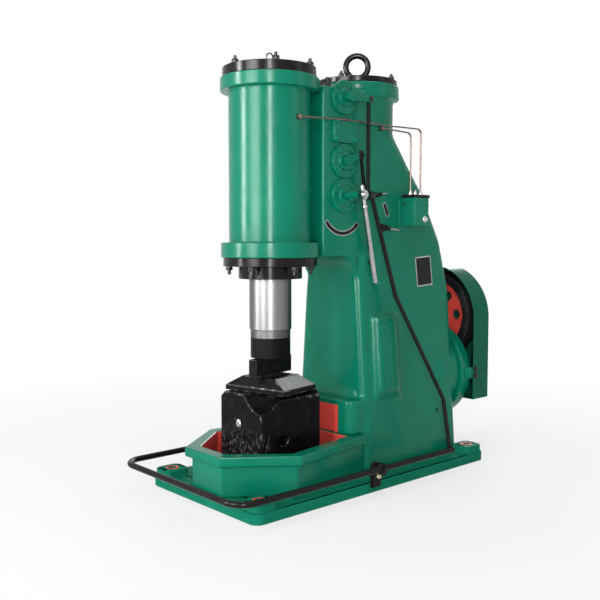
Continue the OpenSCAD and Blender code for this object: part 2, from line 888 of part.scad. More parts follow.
module bearing_cover() {
    color("seagreen") difference() {
        y_disc(0, rear_y, wheel_z, bearing_d / 2, bearing_t);
        y_disc(0, rear_y - over, wheel_z, crank_r + fit, bearing_t + 2 * over);
    }
}

rim_t = 36;
web_t = 22;
hub_d = 120;
web_holes = 6;
web_hole_d = 56;
web_hole_share = 0.62;
web_turn = 30;

module flywheel() {
    r = wheel_d / 2;
    color("firebrick") difference() {
        union() {
            difference() {
                y_disc(0, wheel_y, wheel_z, r, wheel_w);
                y_disc(0, wheel_y - over, wheel_z, r - rim_t, wheel_w + 2 * over);
            }
            y_disc(0, wheel_y + (wheel_w - web_t) / 2, wheel_z, r - rim_t + over, web_t);
            y_disc(0, wheel_y, wheel_z, hub_d / 2, wheel_w);
            y_disc(0, rear_y + over, wheel_z, crank_r, wheel_y + wheel_w - rear_y - over);
        }
        for (i = [0 : web_holes - 1])
            translate([0, 0, wheel_z]) rotate([0, 360 / web_holes * i + web_turn, 0])
                y_disc(0, wheel_y - over, (r - rim_t) * web_hole_share, web_hole_d / 2, wheel_w + 2 * over);
    }
}

belt_t = 12;
belt_gap = 0.5;

module belt_outline(grow) {
    r1 = wheel_d / 2 + grow;
    r2 = motor_pulley_d / 2 + grow;
    d = wheel_z - motor_z;
    lean = asin((r1 - r2) / d);
    translate([0, wheel_z]) circle(r1);
    translate([0, motor_z]) circle(r2);
    polygon([[r1 * cos(lean), wheel_z - r1 * sin(lean)], [-r1 * cos(lean), wheel_z - r1 * sin(lean)],
        [-r2 * cos(lean), motor_z - r2 * sin(lean)], [r2 * cos(lean), motor_z - r2 * sin(lean)]]);
}

module drive_belts() {
    color("black") translate([0, wheel_y + wheel_w, 0]) rotate([90, 0, 0])
        linear_extrude(wheel_w) difference() {
            belt_outline(belt_gap + belt_t);
            belt_outline(belt_gap);
        }
}

module motor_pulley() {
    color("dimgray") {
        y_disc(0, wheel_y, motor_z, motor_pulley_d / 2, wheel_w);
        y_disc(0, guard_y, motor_z, motor_shaft_r, wheel_in);
    }
}

module guard_outline(in) {
    r = guard_w / 2 - in;
    translate([0, guard_arch_z]) circle(r);
    translate([-r, guard_low + in]) square([2 * r, guard_arch_z - guard_low - in]);
}

module belt_guard() {
    color("seagreen") translate([0, guard_y + guard_depth, 0]) rotate([90, 0, 0]) difference() {
        linear_extrude(guard_depth) guard_outline(0);
        translate([0, 0, guard_t]) linear_extrude(guard_depth) guard_outline(guard_t);
    }
}

base_plate();
anvil_trough();
sow_block();
lower_die();
upper_die();
ram();
gland_flange();
gland_ring();
working_cylinder();
cylinder_cover();
frame_column();
compressor_cover();
lifting_eye();
upper_valve_cover();
middle_valve_cover();
lower_valve_cover();
port_cover();
upper_valve_arm();
middle_valve_lever();
lower_valve_arm();
hand_lever();
link_bar();
treadle_rod();
treadle_bar();
treadle_bracket_right();
treadle_bracket_left();
lubricator_bracket();
lubricator_box();
lubricator_lid();
oil_pipe_front();
oil_pipe_rear();
motor_flange();
bearing_cover();
flywheel();
drive_belts();
motor_pulley();
belt_guard();
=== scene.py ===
import json
import math

import bmesh
import bpy
from mathutils import Matrix, Vector


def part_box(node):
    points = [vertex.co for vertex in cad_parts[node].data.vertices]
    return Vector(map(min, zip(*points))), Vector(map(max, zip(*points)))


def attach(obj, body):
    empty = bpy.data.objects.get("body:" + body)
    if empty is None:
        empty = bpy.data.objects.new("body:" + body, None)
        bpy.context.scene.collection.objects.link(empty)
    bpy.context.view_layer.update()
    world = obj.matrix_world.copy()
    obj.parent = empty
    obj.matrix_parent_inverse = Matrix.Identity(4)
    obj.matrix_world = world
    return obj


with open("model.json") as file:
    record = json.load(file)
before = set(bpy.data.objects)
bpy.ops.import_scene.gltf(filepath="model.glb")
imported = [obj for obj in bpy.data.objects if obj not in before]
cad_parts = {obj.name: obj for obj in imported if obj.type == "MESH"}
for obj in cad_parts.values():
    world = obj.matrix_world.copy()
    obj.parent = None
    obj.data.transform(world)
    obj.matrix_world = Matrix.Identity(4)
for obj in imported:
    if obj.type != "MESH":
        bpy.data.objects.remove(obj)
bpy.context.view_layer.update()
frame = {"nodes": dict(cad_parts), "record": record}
scene = bpy.context.scene
nodes = frame["nodes"]
along = {"x": Vector((1, 0, 0)), "y": Vector((0, 1, 0)), "z": Vector((0, 0, 1))}
print("frame loaded with", len(nodes), "nodes")

# camera, at the angle of the photograph
cameraSet = {"place": (2.907, -2.791, 1.153), "azimuth": 48.14, "pitch": 3.994, "lens": 48.36, "sensor": 36.0}


def makeCamera():
    turn, dip = math.radians(cameraSet["azimuth"]), math.radians(cameraSet["pitch"])
    back = Vector((math.sin(turn) * math.cos(dip), -math.cos(turn) * math.cos(dip), math.sin(dip)))
    data = bpy.data.cameras.new("camera")
    data.lens = cameraSet["lens"]
    data.sensor_width = cameraSet["sensor"]
    camera = bpy.data.objects.new("camera", data)
    camera.location = cameraSet["place"]
    camera.rotation_mode = "QUATERNION"
    camera.rotation_quaternion = (-back).to_track_quat("-Z", "Y")
    scene.collection.objects.link(camera)
    scene.camera = camera


makeCamera()
print("camera set")


# node helpers for the studio and the finishes
def addNode(tree, kind, values=None):
    node = tree.nodes.new("ShaderNode" + kind)
    for socket, value in (values or {}).items():
        node.inputs[socket].default_value = value
    return node


def mathOf(tree, operation, first, second=0):
    node = addNode(tree, "Math")
    node.operation = operation
    for socket, value in zip(node.inputs, (first, second)):
        if isinstance(value, (int, float)):
            socket.default_value = value
        else:
            tree.links.new(value, socket)
    return node.outputs[0]


def rangeOf(tree, value, low, high, toLow=0.0, toHigh=1.0):
    span = addNode(tree, "MapRange", {"From Min": low, "From Max": high, "To Min": toLow, "To Max": toHigh})
    tree.links.new(value, span.inputs["Value"])
    return span.outputs[0]


def fadeOf(tree, share, first, second):
    # one shader fading into another
    fade = addNode(tree, "MixShader")
    for socket, value in zip(fade.inputs, (share, first, second)):
        tree.links.new(value, socket)
    return fade.outputs[0]


# studio: pale floor, white surround, soft lamps, and cards that are seen only in glossy paint
white = (1, 1, 1, 1)
studioSet = {
    "floor": {"size": 60.0, "colour": (0.86, 0.86, 0.87, 1), "glow": 0.66, "fadeFrom": 1.2, "fadeTo": 3.4},
    "surround": {"seen": 1.0, "left": 0.24, "right": 0.11},
    "lamps": {
        "left": {"place": (-2.0, -4.6, 1.8), "aim": (0, -0.3, 1.5), "size": (0.5, 3.4), "watts": 95},
        "front": {"place": (0.9, -4.9, 1.8), "aim": (0, -0.3, 1.5), "size": (1.3, 3.4), "watts": 110},
        "near": {"place": (4.1, -3.8, 1.8), "aim": (0, -0.2, 1.5), "size": (0.4, 3.4), "watts": 150},
        "cardLeft": {"place": (-2.0, -4.6, 2.2), "aim": (0, -0.3, 1.9), "size": (0.9, 2.2), "watts": 210,
                     "glossOnly": True},
        "cardFront": {"place": (0.7, -4.95, 2.2), "aim": (0, -0.3, 1.9), "size": (2.4, 2.2), "watts": 250,
                      "glossOnly": True},
        "cardNear": {"place": (3.9, -3.6, 2.2), "aim": (0, -0.3, 1.9), "size": (0.7, 2.2), "watts": 150,
                     "glossOnly": True},
        "side": {"place": (4.3, 2.4, 2.9), "aim": (0, 0.1, 1.1), "size": (1.6, 2.2), "watts": 14},
        "top": {"place": (0.2, 0.3, 5.2), "aim": (0, 0.1, 1.0), "size": (3.0, 3.0), "watts": 80},
        "rear": {"place": (-3.0, 4.4, 2.8), "aim": (0, 0.3, 1.0), "size": (2.4, 2.4), "watts": 130},
    },
}


def lookedAt(tree):
    # 1 for rays from the camera, mirrors and glass, else 0
    path = addNode(tree, "LightPath").outputs
    direct = mathOf(tree, "MAXIMUM", path["Is Camera Ray"], path["Is Transmission Ray"])
    return mathOf(tree, "MAXIMUM", direct, path["Is Glossy Ray"])


def makeFloor():
    floorSet = studioSet["floor"]
    bm = bmesh.new()
    bmesh.ops.create_grid(bm, x_segments=1, y_segments=1, size=floorSet["size"])
    mesh = bpy.data.meshes.new("studioFloor")
    bm.to_mesh(mesh)
    bm.free()
    floor = bpy.data.objects.new("studioFloor", mesh)
    scene.collection.objects.link(floor)
    material = bpy.data.materials.new("paleFloor")
    material.use_nodes = True
    tree = material.node_tree
    tree.nodes.clear()
    matt = addNode(tree, "BsdfDiffuse", {"Color": floorSet["colour"]})
    glow = addNode(tree, "Emission", {"Color": white})
    # the shadow stays near the machine, and the floor fades to white further out
    away = addNode(tree, "VectorMath")
    away.operation = "LENGTH"
    tree.links.new(addNode(tree, "TexCoord").outputs["Object"], away.inputs[0])
    fade = rangeOf(tree, away.outputs["Value"], floorSet["fadeFrom"], floorSet["fadeTo"], floorSet["glow"])
    seen = fadeOf(tree, mathOf(tree, "MULTIPLY", lookedAt(tree), fade), matt.outputs[0], glow.outputs[0])
    tree.links.new(seen, addNode(tree, "OutputMaterial").inputs["Surface"])
    mesh.materials.append(material)


def makeSurround():
    light = studioSet["surround"]
    world = bpy.data.worlds.new("surround")
    scene.world = world
    world.use_nodes = True
    tree = world.node_tree
    tree.nodes.clear()
    seen = addNode(tree, "Background", {"Color": white, "Strength": light["seen"]})
    lit = addNode(tree, "Background", {"Color": white})
    # the light that falls on the machine weakens from its left to its control side
    aim = addNode(tree, "SeparateXYZ")
    tree.links.new(addNode(tree, "TexCoord").outputs["Generated"], aim.inputs[0])
    fall = rangeOf(tree, aim.outputs["X"], -1, 1, light["left"], light["right"])
    tree.links.new(fall, lit.inputs["Strength"])
    both = fadeOf(tree, lookedAt(tree), lit.outputs[0], seen.outputs[0])
    tree.links.new(both, addNode(tree, "OutputWorld").inputs["Surface"])


def makeLamps():
    for name, lamp in studioSet["lamps"].items():
        data = bpy.data.lights.new(name, "AREA")
        data.energy = lamp["watts"]
        data.shape = "RECTANGLE"
        data.size, data.size_y = lamp["size"]
        light = bpy.data.objects.new(name + "Lamp", data)
        light.location = lamp["place"]
        light.rotation_mode = "QUATERNION"
        light.rotation_quaternion = (Vector(lamp["aim"]) - Vector(lamp["place"])).to_track_quat("-Z", "Y")
        light.visible_diffuse = not lamp.get("glossOnly", False)
        scene.collection.objects.link(light)


makeFloor()
makeSurround()
makeLamps()
scene.view_settings.view_transform = "Standard"
print("studio lit")

# noise grains: waves in a metre, detail and, where the grain is drawn out, its stretch along x, y and z
grains = {
    "drift": (2.4, 4.0), "sway": (7.0, 2.0), "blotch": (9.0, 3.0), "gloss": (14.0, 3.0), "skin": (160.0, 2.0),
    "lump": (14.0, 4.0), "scale": (22.0, 5.0), "chip": (26.0, 4.0), "flank": (26.0, 5.0), "dull": (30.0, 4.0),
    "rubber": (30.0, 3.0), "web": (40.0, 3.0), "smear": (40.0, 4.0), "rub": (60.0, 3.0), "milk": (60.0, 2.0),
    "pit": (75.0, 4.0), "grit": (140.0, 3.0), "weave": (200.0, 2.0), "fine": (220.0, 2.0),
    # drawn-out grains: the die's grey slopes, partly ground metal and partly painted light, and the ram's
    # streaks, partly grinding marks and partly painted reflection bands
    "groundAndLit": (30.0, 5.0, (1, 4, 1)), "scuff": (85.0, 5.0, (1, 1, 0.6)),
    "streakAndReflection": (15.0, 0.0, (1, 1, 0.01)), "turned": (6.0, 3.0, (1, 1, 55)),
}
noiseBand = (0.3, 0.7)  # where most of a noise lies
coatRough = 0.08


def startMaterial(name, metallic=0.0, coat=0.0, sheen=0.10):
    material = bpy.data.materials.new(name)
    material.use_nodes = True
    inputs = material.node_tree.nodes["Principled BSDF"].inputs
    inputs["Metallic"].default_value = metallic
    inputs["Specular IOR Level"].default_value = sheen
    inputs["Coat Weight"].default_value = coat
    inputs["Coat Roughness"].default_value = coatRough
    return material, material.node_tree


def endMaterial(material, colour, rough, normal):
    tree = material.node_tree
    inputs = tree.nodes["Principled BSDF"].inputs
    for socket, value in (("Base Color", colour), ("Roughness", rough), ("Normal", normal)):
        tree.links.new(value, inputs[socket])
    return material


def placeOf(tree, stretch=(1, 1, 1)):
    turn = addNode(tree, "Mapping", {"Scale": stretch})
    tree.links.new(addNode(tree, "TexCoord").outputs["Object"], turn.inputs["Vector"])
    return turn.outputs["Vector"]


def axesOf(tree):
    parts = addNode(tree, "SeparateXYZ")
    tree.links.new(placeOf(tree), parts.inputs[0])
    return parts.outputs


def noiseOf(tree, grain):
    scale, detail, *stretch = grains[grain]
    noise = addNode(tree, "TexNoise", {"Scale": scale, "Detail": detail})
    tree.links.new(placeOf(tree, *stretch), noise.inputs["Vector"])
    return noise.outputs[0]


def rampOf(tree, value, stops, step=False):
    # stops of (place, colour or grey)
    ramp = addNode(tree, "ValToRGB")
    ramp.color_ramp.interpolation = "CONSTANT" if step else "LINEAR"
    marks = ramp.color_ramp.elements
    while len(marks) < len(stops):
        marks.new(0.5)
    for mark, (at, colour) in zip(marks, stops):
        mark.position = at
        mark.color = (*colour, 1) if hasattr(colour, "__len__") else (colour, colour, colour, 1)
    tree.links.new(value, ramp.inputs[0])
    return ramp.outputs[0]


def toneOf(tree, grain, dark, pale, band=noiseBand):
    return rampOf(tree, noiseOf(tree, grain), list(zip(band, (dark, pale))))


def roughOf(tree, grain, rough, band=noiseBand):
    return rangeOf(tree, noiseOf(tree, grain), *band, *rough)


def mixOf(tree, share, first, second):
    node = addNode(tree, "Mix")
    node.data_type = "RGBA"
    tree.links.new(share, node.inputs["Factor"])
    for socket, colour in zip((node.inputs[6], node.inputs[7]), (first, second)):  # the colour sockets
        if isinstance(colour, tuple):
            socket.default_value = (*colour, 1)
        else:
            tree.links.new(colour, socket)
    return node.outputs[2]


def bumpOf(tree, *layers):
    # layers of (grain or height, strength, depth in metres), the first lowest
    last = None
    for height, strength, depth in layers:
        if isinstance(height, str):
            height = noiseOf(tree, height)
        bump = addNode(tree, "Bump", {"Strength": strength, "Distance": depth})
        tree.links.new(height, bump.inputs["Height"])
        if last is not None:
            tree.links.new(last, bump.inputs["Normal"])
        last = bump.outputs[0]
    return last


# painted finishes: colour drifts a little, the gloss drifts more, and the paint has its own skin
paints = {
    "castEnamel": {"dark": (0.001, 0.164, 0.096), "pale": (0.003, 0.206, 0.122), "gloss": (0.16, 0.28),
                   "sway": 0.22, "skin": 0.04},
    "baseEnamel": {"dark": (0.006, 0.170, 0.102), "pale": (0.010, 0.222, 0.134), "gloss": (0.40, 0.55),
                   "sway": 0.20, "skin": 0.12, "sheen": 0.02},
    "sheetEnamel": {"dark": (0.006, 0.105, 0.064), "pale": (0.009, 0.135, 0.084), "gloss": (0.20, 0.34),
                    "sway": 0.15, "skin": 0.05, "sheen": 0.05},
    "coverBlack": {"dark": (0.004, 0.004, 0.004), "pale": (0.010, 0.009, 0.010), "gloss": (0.12, 0.24),
                   "sway": 0.12, "skin": 0.06},
    "leverBlack": {"dark": (0.006, 0.005, 0.005), "pale": (0.012, 0.011, 0.011), "gloss": (0.18, 0.30),
                   "sway": 0.10, "skin": 0.08, "sheen": 0.10},
    "primerRed": {"dark": (0.80, 0.060, 0.045), "pale": (0.92, 0.105, 0.080), "gloss": (0.34, 0.52),
                  "sway": 0.30, "skin": 0.20},
}
enamelSheen = 0.15
swayDepth = 0.004
skinDepth = 0.0006


def paintTone(tree, grain, name):
    return toneOf(tree, grain, paints[name]["dark"], paints[name]["pale"])


def makePaint(name):
    paint = paints[name]
    material, tree = startMaterial(name, sheen=paint.get("sheen", enamelSheen))
    normal = bumpOf(tree, ("sway", paint["sway"], swayDepth), ("skin", paint["skin"], skinDepth))
    return endMaterial(material, paintTone(tree, "drift", name), roughOf(tree, "gloss", paint["gloss"]),
                       normal)


# the frame casting: same enamel, a parting line round the head, red primer on the foot's front
partingLine = {"height": 1.679, "half": 0.0022, "core": 0.4, "share": 0.55, "tone": (0.004, 0.11, 0.075),
               "groove": (0.6, 0.001)}
footPrimer = {"front": -0.069, "top": 0.372, "half": 0.149}


def makeColumnPaint():
    paint = paints["castEnamel"]
    half = partingLine["half"]
    material, tree = startMaterial("columnEnamel", sheen=enamelSheen)
    axes = axesOf(tree)
    offLine = mathOf(tree, "ABSOLUTE", mathOf(tree, "SUBTRACT", axes["Z"], partingLine["height"]))
    onLine = rangeOf(tree, offLine, half * partingLine["core"], half, 1, 0)
    lined = mixOf(tree, mathOf(tree, "MULTIPLY", onLine, partingLine["share"]),
                  paintTone(tree, "drift", "castEnamel"), partingLine["tone"])
    ahead = mathOf(tree, "LESS_THAN", axes["Y"], footPrimer["front"])
    below = mathOf(tree, "LESS_THAN", axes["Z"], footPrimer["top"])
    beside = mathOf(tree, "LESS_THAN", mathOf(tree, "ABSOLUTE", axes["X"]), footPrimer["half"])
    primed = mathOf(tree, "MULTIPLY", ahead, mathOf(tree, "MULTIPLY", below, beside))
    colour = mixOf(tree, primed, lined, paintTone(tree, "blotch", "primerRed"))
    normal = bumpOf(tree, ("sway", paint["sway"], swayDepth),
                    (mathOf(tree, "SUBTRACT", 1, onLine), *partingLine["groove"]),
                    ("skin", paint["skin"], skinDepth))
    return endMaterial(material, colour, roughOf(tree, "gloss", paint["gloss"]), normal)


# middle lever: green crank near the valve shaft, black bar below it
crankPaint = {"ahead": -0.014, "above": 1.50, "rough": (0.28, 0.45), "bump": ("skin", 0.2, skinDepth)}


def makeCrankPaint():
    material, tree = startMaterial("crankPaint")
    axes = axesOf(tree)
    green = mathOf(tree, "MULTIPLY", mathOf(tree, "LESS_THAN", axes["Y"], crankPaint["ahead"]),
                   mathOf(tree, "GREATER_THAN", axes["Z"], crankPaint["above"]))
    colour = mixOf(tree, green, paintTone(tree, "blotch", "leverBlack"), paints["castEnamel"]["dark"])
    return endMaterial(material, colour, roughOf(tree, "gloss", crankPaint["rough"]),
                       bumpOf(tree, crankPaint["bump"]))


# blackened forging under thick paint: lumpy, and scuffed grey low on the front
forging = {"dark": 0.002, "pale": 0.008, "toneBand": (0.35, 0.7), "rough": (0.22, 0.5),
           "roughBand": (0.35, 0.65), "bumps": (("lump", 0.45, 0.006), ("pit", 0.35, 0.002)), "sheen": 0.05,
           "scuffZ": (0.20, 0.33), "scuffFront": -0.50, "scuffBand": (0.5, 0.62), "bare": (0.10, 0.095, 0.10)}


def makeForged():
    material, tree = startMaterial("forgedBlack", sheen=forging["sheen"])
    axes = axesOf(tree)
    black = toneOf(tree, "scale", forging["dark"], forging["pale"], forging["toneBand"])
    low = mathOf(tree, "MULTIPLY", rangeOf(tree, axes["Z"], *forging["scuffZ"], 1, 0),
                 mathOf(tree, "LESS_THAN", axes["Y"], forging["scuffFront"]))
    scuffed = mathOf(tree, "MULTIPLY", low, rangeOf(tree, noiseOf(tree, "scuff"), *forging["scuffBand"]))
    return endMaterial(material, mixOf(tree, scuffed, black, forging["bare"]),
                       roughOf(tree, "dull", forging["rough"], forging["roughBand"]),
                       bumpOf(tree, *forging["bumps"]))


# tool steel: dark scale on the flanks, grey on the slopes that face up and to a side, partly ground metal and
# partly painted light where the lamps fall on them
toolSteel = {"dark": 0.002, "pale": 0.010, "toneBand": (0.35, 0.7), "rough": (0.3, 0.52),
             "roughBand": (0.35, 0.65), "bumps": (("dull", 0.3, 0.003), ("grit", 0.3, 0.0008)), "sheen": 0.05,
             "facingUp": (0.3, 0.6), "facingSide": (0.25, 0.4),
             "groundAndLit": ((0.36, 0.36, 0.365), (0.50, 0.50, 0.505))}


def makeDieSteel():
    material, tree = startMaterial("dieSteel", sheen=toolSteel["sheen"])
    facing = addNode(tree, "SeparateXYZ")
    tree.links.new(addNode(tree, "NewGeometry").outputs["Normal"], facing.inputs[0])
    side = mathOf(tree, "ABSOLUTE", facing.outputs["X"])
    # lighter on faces turned up and to a side: partly ground metal, partly painted light
    groundLitSlopes = mathOf(tree, "MULTIPLY", rangeOf(tree, facing.outputs["Z"], *toolSteel["facingUp"]),
                    rangeOf(tree, side, *toolSteel["facingSide"]))
    flank = toneOf(tree, "flank", toolSteel["dark"], toolSteel["pale"], toolSteel["toneBand"])
    return endMaterial(material, mixOf(tree, groundLitSlopes, flank, toneOf(tree, "groundAndLit", *toolSteel["groundAndLit"])),
                       roughOf(tree, "dull", toolSteel["rough"], toolSteel["roughBand"]),
                       bumpOf(tree, *toolSteel["bumps"]))


# paint or scale knocked off along an edge, in patches
wornEdges = {"wornForging": {"base": (0.005, 0.005, 0.005), "bare": (0.11, 0.105, 0.10), "from": 0.55},
             "wornDie": {"base": (0.012, 0.012, 0.012), "bare": (0.20, 0.20, 0.195), "from": 0.54}}
wornSet = {"metallic": 0.3, "fade": 0.10, "rough": (0.3, 0.5), "bump": ("pit", 0.3, 0.002)}


def makeWornEdge(name):
    edge = wornEdges[name]
    material, tree = startMaterial(name, metallic=wornSet["metallic"])
    bared = rangeOf(tree, noiseOf(tree, "chip"), edge["from"], edge["from"] + wornSet["fade"])
    return endMaterial(material, mixOf(tree, bared, edge["base"], edge["bare"]),
                       roughOf(tree, "rub", wornSet["rough"]), bumpOf(tree, wornSet["bump"]))


# ram: dark foot, turned band above it, polished shank, with heights in metres at rest; the shank's dark
# vertical streaks are partly grinding marks and partly painted reflection bands
ramSteel = {"from": 0.60, "to": 0.80, "band": 0.716, "shank": 0.754, "tones": (0.007, 0.10, 0.20),
            "rough": (0.55, 0.40, 0.32), "turnedRough": (-0.03, 0.05), "streakAndReflectionShare": 0.75,
            "streakAndReflection": (0.05, 0.05, 0.055), "bump": (0.02, 0.0004)}


def makeRamSteel():
    span = ramSteel["to"] - ramSteel["from"]
    places = [0] + [(ramSteel[part] - ramSteel["from"]) / span for part in ("band", "shank")]
    material, tree = startMaterial("ramSteel", metallic=1.0)
    height = rangeOf(tree, axesOf(tree)["Z"], ramSteel["from"], ramSteel["to"])
    turned = noiseOf(tree, "turned")
    bright = rampOf(tree, height, [(0, 0), (places[1], ramSteel["streakAndReflectionShare"])], step=True)
    # dark vertical bands down the shank: partly grinding streaks, partly painted reflection
    streakedAndReflected = mathOf(tree, "MULTIPLY", rangeOf(tree, noiseOf(tree, "streakAndReflection"), *noiseBand), bright)
    tone = rampOf(tree, height, list(zip(places, ramSteel["tones"])), step=True)
    rough = mathOf(tree, "ADD", rampOf(tree, height, list(zip(places, ramSteel["rough"])), step=True),
                   rangeOf(tree, turned, *noiseBand, *ramSteel["turnedRough"]))
    return endMaterial(material, mixOf(tree, streakedAndReflected, tone, ramSteel["streakAndReflection"]), rough,
                       bumpOf(tree, (turned, *ramSteel["bump"])))


# bare metals and one cream paint, all with faint smears
metals = {
    "leverChrome": {"dark": (0.34, 0.34, 0.35), "pale": (0.46, 0.46, 0.47), "rough": (0.10, 0.20)},
    "boltSteel": {"dark": (0.02, 0.02, 0.022), "pale": (0.052, 0.052, 0.054), "rough": (0.28, 0.46),
                  "metallic": 0.8},
    "brightSteel": {"dark": (0.32, 0.31, 0.30), "pale": (0.52, 0.51, 0.50), "rough": (0.24, 0.4)},
    "copperTube": {"dark": (0.11, 0.08, 0.065), "pale": (0.20, 0.15, 0.12), "rough": (0.28, 0.42)},
    "pulleyIron": {"dark": (0.04, 0.04, 0.042), "pale": (0.10, 0.10, 0.105), "rough": (0.4, 0.6),
                   "metallic": 0.7},
    "creamPaint": {"dark": (0.62, 0.55, 0.40), "pale": (0.74, 0.68, 0.52), "rough": (0.35, 0.5),
                   "metallic": 0.0},
}
metalBump = ("fine", 0.08, 0.0004)


def makeMetal(name):
    metal = metals[name]
    material, tree = startMaterial(name, metallic=metal.get("metallic", 1.0))
    return endMaterial(material, toneOf(tree, "smear", metal["dark"], metal["pale"]),
                       roughOf(tree, "smear", metal["rough"]), bumpOf(tree, metalBump))


# flywheel: red web and hub, black rim
wheelPaint = {"height": 0.755, "rimFrom": 0.187, "dark": (0.008, 0.008, 0.009), "pale": (0.022, 0.022, 0.024),
              "rough": (0.34, 0.52), "bump": ("web", 0.3, 0.0015), "coat": 0.1}


def makeWheelPaint():
    material, tree = startMaterial("wheelPaint", coat=wheelPaint["coat"])
    axes = axesOf(tree)
    drop = mathOf(tree, "SUBTRACT", axes["Z"], wheelPaint["height"])
    squares = mathOf(tree, "ADD", mathOf(tree, "MULTIPLY", axes["X"], axes["X"]),
                     mathOf(tree, "MULTIPLY", drop, drop))
    rim = mathOf(tree, "GREATER_THAN", mathOf(tree, "SQRT", squares), wheelPaint["rimFrom"])
    black = toneOf(tree, "rubber", wheelPaint["dark"], wheelPaint["pale"])
    return endMaterial(material, mixOf(tree, rim, paintTone(tree, "blotch", "primerRed"), black),
                       roughOf(tree, "gloss", wheelPaint["rough"]), bumpOf(tree, wheelPaint["bump"]))


# V-belts side by side, with a rib for each, and painted shade darkening the gaps between belts
beltRibs = {"pitch": 0.0128, "tones": ((0.1, (0.002, 0.002, 0.002)), (0.5, (0.016, 0.016, 0.017))),
            "rough": (0.5, 0.75), "bump": (0.8, 0.004), "weave": ("weave", 0.2, 0.0004)}


def makeBelt():
    material, tree = startMaterial("beltRubber")
    wave = mathOf(tree, "MULTIPLY", axesOf(tree)["Y"], math.pi / beltRibs["pitch"])
    ribAndGapShade = mathOf(tree, "ABSOLUTE", mathOf(tree, "SINE", wave))
    # the tone darkens towards each gap between belts: painted shade
    return endMaterial(material, rampOf(tree, ribAndGapShade, beltRibs["tones"]),
                       roughOf(tree, "rubber", beltRibs["rough"]),
                       bumpOf(tree, (ribAndGapShade, *beltRibs["bump"]), beltRibs["weave"]))


# milky glass over the oil
sightGlass = {"dark": (0.62, 0.62, 0.55), "pale": (0.80, 0.80, 0.74), "rough": 0.08, "coat": 0.5}


def makeGlass():
    material, tree = startMaterial("sightGlass", coat=sightGlass["coat"])
    inputs = tree.nodes["Principled BSDF"].inputs
    inputs["Roughness"].default_value = sightGlass["rough"]
    tree.links.new(toneOf(tree, "milk", sightGlass["dark"], sightGlass["pale"]), inputs["Base Color"])
    return material


finish = {name: makePaint(name) for name in paints}
finish.update({name: makeMetal(name) for name in metals})
finish.update({name: makeWornEdge(name) for name in wornEdges})
finish["columnEnamel"] = makeColumnPaint()
finish["crankPaint"] = makeCrankPaint()
finish["forgedBlack"] = makeForged()
finish["dieSteel"] = makeDieSteel()
finish["ramSteel"] = makeRamSteel()
finish["wheelPaint"] = makeWheelPaint()
finish["beltRubber"] = makeBelt()
finish["sightGlass"] = makeGlass()
print("finishes made:", len(finish))

# CAD nodes keep their shape: each gets its finish, and its edges are eased by a radius in metres
nodeFinish = {
    "baseEnamel": {"base_plate": 0.006},
    "castEnamel": {"anvil_trough": 0.007, "working_cylinder": 0.005, "upper_valve_cover": 0.003,
                   "middle_valve_cover": 0.003, "lower_valve_cover": 0.003, "port_cover": 0.003,
                   "upper_valve_arm": 0.0015, "lower_valve_arm": 0.0015, "lubricator_bracket": 0.002,
                   "lubricator_box": 0.003, "motor_flange": 0.004, "bearing_cover": 0.003},
    "columnEnamel": {"frame_column": 0},  # rounded as a whole instead
    "sheetEnamel": {"belt_guard": 0.0012},
    "coverBlack": {"gland_flange": 0.003, "gland_ring": 0.003, "cylinder_cover": 0.004,
                   "compressor_cover": 0.004, "lifting_eye": 0.002, "lubricator_lid": 0.002},
    "leverBlack": {"link_bar": 0.0012, "treadle_rod": 0.0010, "treadle_bar": 0.0012,
                   "treadle_bracket_right": 0.0025, "treadle_bracket_left": 0.0025},
    "crankPaint": {"middle_valve_lever": 0.0012},
    "leverChrome": {"hand_lever": 0.001},
    "forgedBlack": {"sow_block": 0.008},
    "dieSteel": {"lower_die": 0.004, "upper_die": 0.003},
    "ramSteel": {"ram": 0.002},
    "copperTube": {"oil_pipe_front": 0.0006, "oil_pipe_rear": 0.0006},
    "wheelPaint": {"flywheel": 0.003},
    "beltRubber": {"drive_belts": 0.0015},
    "pulleyIron": {"motor_pulley": 0.002},
}
wornNodes = {"sow_block": "wornForging", "lower_die": "wornDie", "upper_die": "wornDie"}
castSet = {"voxel": 0.0076, "factor": 0.5, "rounds": 8}
edgeSet = {"weld": 0.00002, "flat": 0.4, "sharp": 20, "segments": 3}
troughPrimer = {"upright": 0.3, "inward": 0.2}


def addModifier(piece, kind, **settings):
    modifier = piece.modifiers.new(kind.lower(), kind)
    for name, value in settings.items():
        setattr(modifier, name, value)


def dressNode(name, materialName, radius):
    node = nodes[name]
    mesh = node.data
    mesh.materials.clear()
    mesh.materials.append(finish[materialName])
    if "custom_normal" in mesh.attributes:
        mesh.attributes.remove(mesh.attributes["custom_normal"])
    for face in mesh.polygons:
        face.material_index = 0
        face.use_smooth = True
    addModifier(node, "WELD", merge_threshold=edgeSet["weld"])
    if name == "frame_column":  # a casting has no sharp corner anywhere
        addModifier(node, "REMESH", mode="VOXEL", voxel_size=castSet["voxel"], use_smooth_shade=True)
        addModifier(node, "SMOOTH", factor=castSet["factor"], iterations=castSet["rounds"])
        return
    if name != "base_plate":  # its top has holes that a single face can't keep
        addModifier(node, "DECIMATE", decimate_type="DISSOLVE", angle_limit=math.radians(edgeSet["flat"]))
    strip = -1
    if name in wornNodes:
        mesh.materials.append(finish[wornNodes[name]])
        strip = 1
    addModifier(node, "BEVEL", width=radius, segments=edgeSet["segments"], limit_method="ANGLE",
                angle_limit=math.radians(edgeSet["sharp"]), harden_normals=True, use_clamp_overlap=False,
                profile=0.5, material=strip)


def middleOf(name):
    low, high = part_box(name)
    return (low + high) / 2


